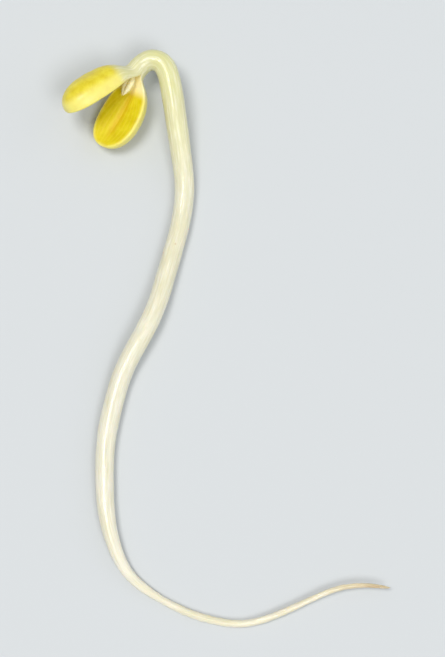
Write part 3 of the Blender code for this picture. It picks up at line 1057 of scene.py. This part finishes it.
# The last ring stops just short of the tip, so that no face is too thin there
LAST_SHARE = 0.995
BUD_VEINS = 6.0
VEIN_SLANT = 2.1
VEIN_HEIGHT = 0.022
KEEL_HEIGHT = 0.05
MARGIN = 1.4


def folded_leaf(side):
    """Rings of one folded leaf, with their marks: how far along, and how close to a vein."""
    rings, marks = [], []
    for j in range(BUD_SLICES):
        share = LAST_SHARE * 0.5 * (1.0 - math.cos(math.pi * (j + 0.5) / BUD_SLICES))
        swell = math.sin(math.pi * share**0.8) ** 0.8
        stalk = (1.0 - share) ** 4
        width = math.hypot(0.5 * BUD_STALK_WIDTH * stalk, LEAF_SHARE * BUD_WIDTH * swell)
        half_depth = math.hypot(0.5 * BUD_STALK_THICKNESS * stalk, 0.5 * BUD_THICKNESS * swell)
        seam = BUD_SEAM + TIP_PARTING * share**3
        ring, ring_marks = [], []
        for k in range(BUD_SLICE_POINTS):
            turn = math.tau * k / BUD_SLICE_POINTS - math.pi
            across = math.cos(turn)
            from_keel = min(abs(turn) / (0.5 * math.pi), MARGIN)
            wave = 0.5 + 0.5 * math.cos(math.tau * (BUD_VEINS * share - VEIN_SLANT * from_keel**0.8))
            vein = wave**5 * swell * min(1.0, 2.5 * (MARGIN - from_keel))
            keel = math.exp(-((turn / 0.16) ** 2)) * min(1.0, 3.0 * (1.0 - share))
            raised = VEIN_HEIGHT * vein + KEEL_HEIGHT * keel
            y = side * (seam + width * (0.5 + 0.5 * across) + raised * across)
            tall = half_depth * abs(math.sin(turn)) ** (0.9 if across > 0.0 else 0.55)
            z = math.copysign(tall + raised * abs(math.sin(turn)), math.sin(turn)) - BUD_DROOP * share**2
            ring.append(BUD_PLACE @ Vector((BUD_LENGTH * share, y, z)))
            ring_marks.append((share, max(vein, keel), 0.0))
        rings.append(ring)
        marks.append(ring_marks)
    return rings, marks


bud_leaves = []
for side, name in ((-1, "first_leaf_right"), (1, "first_leaf_left")):
    rings, marks = folded_leaf(side)
    first_pole = BUD_PLACE @ Vector((-0.05, side * 0.15, 0.0))
    last_pole = BUD_PLACE @ Vector((BUD_LENGTH, side * 0.12, -BUD_DROOP))
    bud_leaves.append(closed_skin(name, rings, first_pole, last_pole, {"bud_marks": marks}, bud_skin))
print("first leaves:", [len(leaf.data.polygons) for leaf in bud_leaves], "faces")

# %% [markdown]
# Silky down
#
# The first leaves are the only hairy part: short silky hairs lie along them and catch the light. Hundreds
# of like things are a task for Geometry Nodes: points are scattered over the leaf, and at each stands a
# copy of one thin bent cone, turned between the skin's own normal and the way to the leaf's tip. Real hairs
# are thinner than these, which are as thick as they need to be to show.

# %% Node tree that grows the down


def silky_down():
    """Tree that scatters thin bent hairs over a mesh and keeps only the hairs."""
    tree, given = new_tree("silky down", {
        "Leaf": "Geometry", "Hair Density": "Float", "Hair Length": "Float", "Hair Slimness": "Float",
        "Lean": "Vector", "Seed": "Int", "Skin": "Material",
    })
    # One hair of unit length: a curve that bends over, thinning to its tip
    bend = add(tree, "GeometryNodeCurvePrimitiveBezierSegment", {
        "Resolution": 5, "Start": (0.0, 0.0, -0.05), "Start Handle": (0.0, 0.0, 0.4),
        "End Handle": (0.12, 0.0, 0.75), "End": (0.4, 0.0, 0.95),
    })
    factor = add(tree, "GeometryNodeSplineParameter")
    taper = add(tree, "ShaderNodeMapRange", [factor, 0.0, 1.0, 1.0, 0.15])
    thickness = add(tree, "ShaderNodeMath", [taper, given["Hair Slimness"]], operation="MULTIPLY")
    profile = add(tree, "GeometryNodeCurvePrimitiveCircle", {"Resolution": 4, "Radius": 1.0})
    hair = add(tree, "GeometryNodeCurveToMesh", {
        "Curve": bend, "Profile Curve": profile, "Scale": thickness, "Fill Caps": True,
    })
    # The hairs on the leaf: each lies over towards the tip and has its own length
    points = add(tree, "GeometryNodeDistributePointsOnFaces", {
        0: given["Leaf"], "Density": given["Hair Density"], "Seed": given["Seed"],
    }).outputs
    leaning = add(tree, "ShaderNodeVectorMath", [points["Normal"], given["Lean"]], operation="ADD")
    turned = add(tree, "FunctionNodeAlignRotationToVector", {"Vector": leaning}, axis="Z")
    chance = add(tree, "FunctionNodeRandomValue", {2: 0.6, 3: 1.3, "Seed": given["Seed"]}, data_type="FLOAT")
    length = add(tree, "ShaderNodeMath", [chance.outputs[1], given["Hair Length"]], operation="MULTIPLY")
    standing = add(tree, "GeometryNodeInstanceOnPoints", {
        "Points": points["Points"], "Instance": hair, "Rotation": turned, "Scale": length,
    })
    end_tree(tree, standing, given["Skin"])
    return tree


DOWN_TREE = silky_down()
print("down tree has", len(DOWN_TREE.nodes), "nodes")

# %% [markdown]
# The down in place
#
# A plant hair is one long hollow cell, pale and smooth like silk. Both leaves run the same tree, each with
# a seed of its own, so that the two don't match.

# %% Down on both first leaves
HAIR_TONE_SIZE = 0.4


def hair_finish():
    """Fine plant hair, a hollow cell: pale, and it shines like silk."""
    made, tree, shader = new_finish("silky plant hair")
    spot = add(tree, "ShaderNodeTexCoord").outputs["Object"]
    tone = add(tree, "ShaderNodeTexNoise", {"Vector": spot, "Scale": PER_MM / HAIR_TONE_SIZE, "Detail": 2.0})
    fill(tree, shader, {
        "Base Color": add(tree, "ShaderNodeValToRGB", [tone], stops=((0.35, "#EFE6C6"), (0.65, "#FBF7E8"))),
        "Roughness": add(tree, "ShaderNodeMath", [tone, 0.2, 0.25], operation="MULTIPLY_ADD"),
        "Normal": add(tree, "ShaderNodeBump", {"Height": tone, "Strength": 0.1, "Distance": 0.005 * MM}),
        "Subsurface Weight": 0.3,
        "Subsurface Scale": 0.05 * MM,
    })
    return made


hair_skin = hair_finish()
for seed, leaf in enumerate(bud_leaves, 5):
    down = run_tree(put("down carrier", leaf.data.copy()), DOWN_TREE, {
        "Hair Density": 26.0 / MM**2,
        "Hair Length": 0.2 * MM,
        "Hair Slimness": 0.045,
        "Lean": HEAD_WAY * 2.2,
        "Seed": seed,
        "Skin": hair_skin,
    }, leaf.name + "_down")
    for piece in (leaf, down):
        stand_for(piece, "plumule")
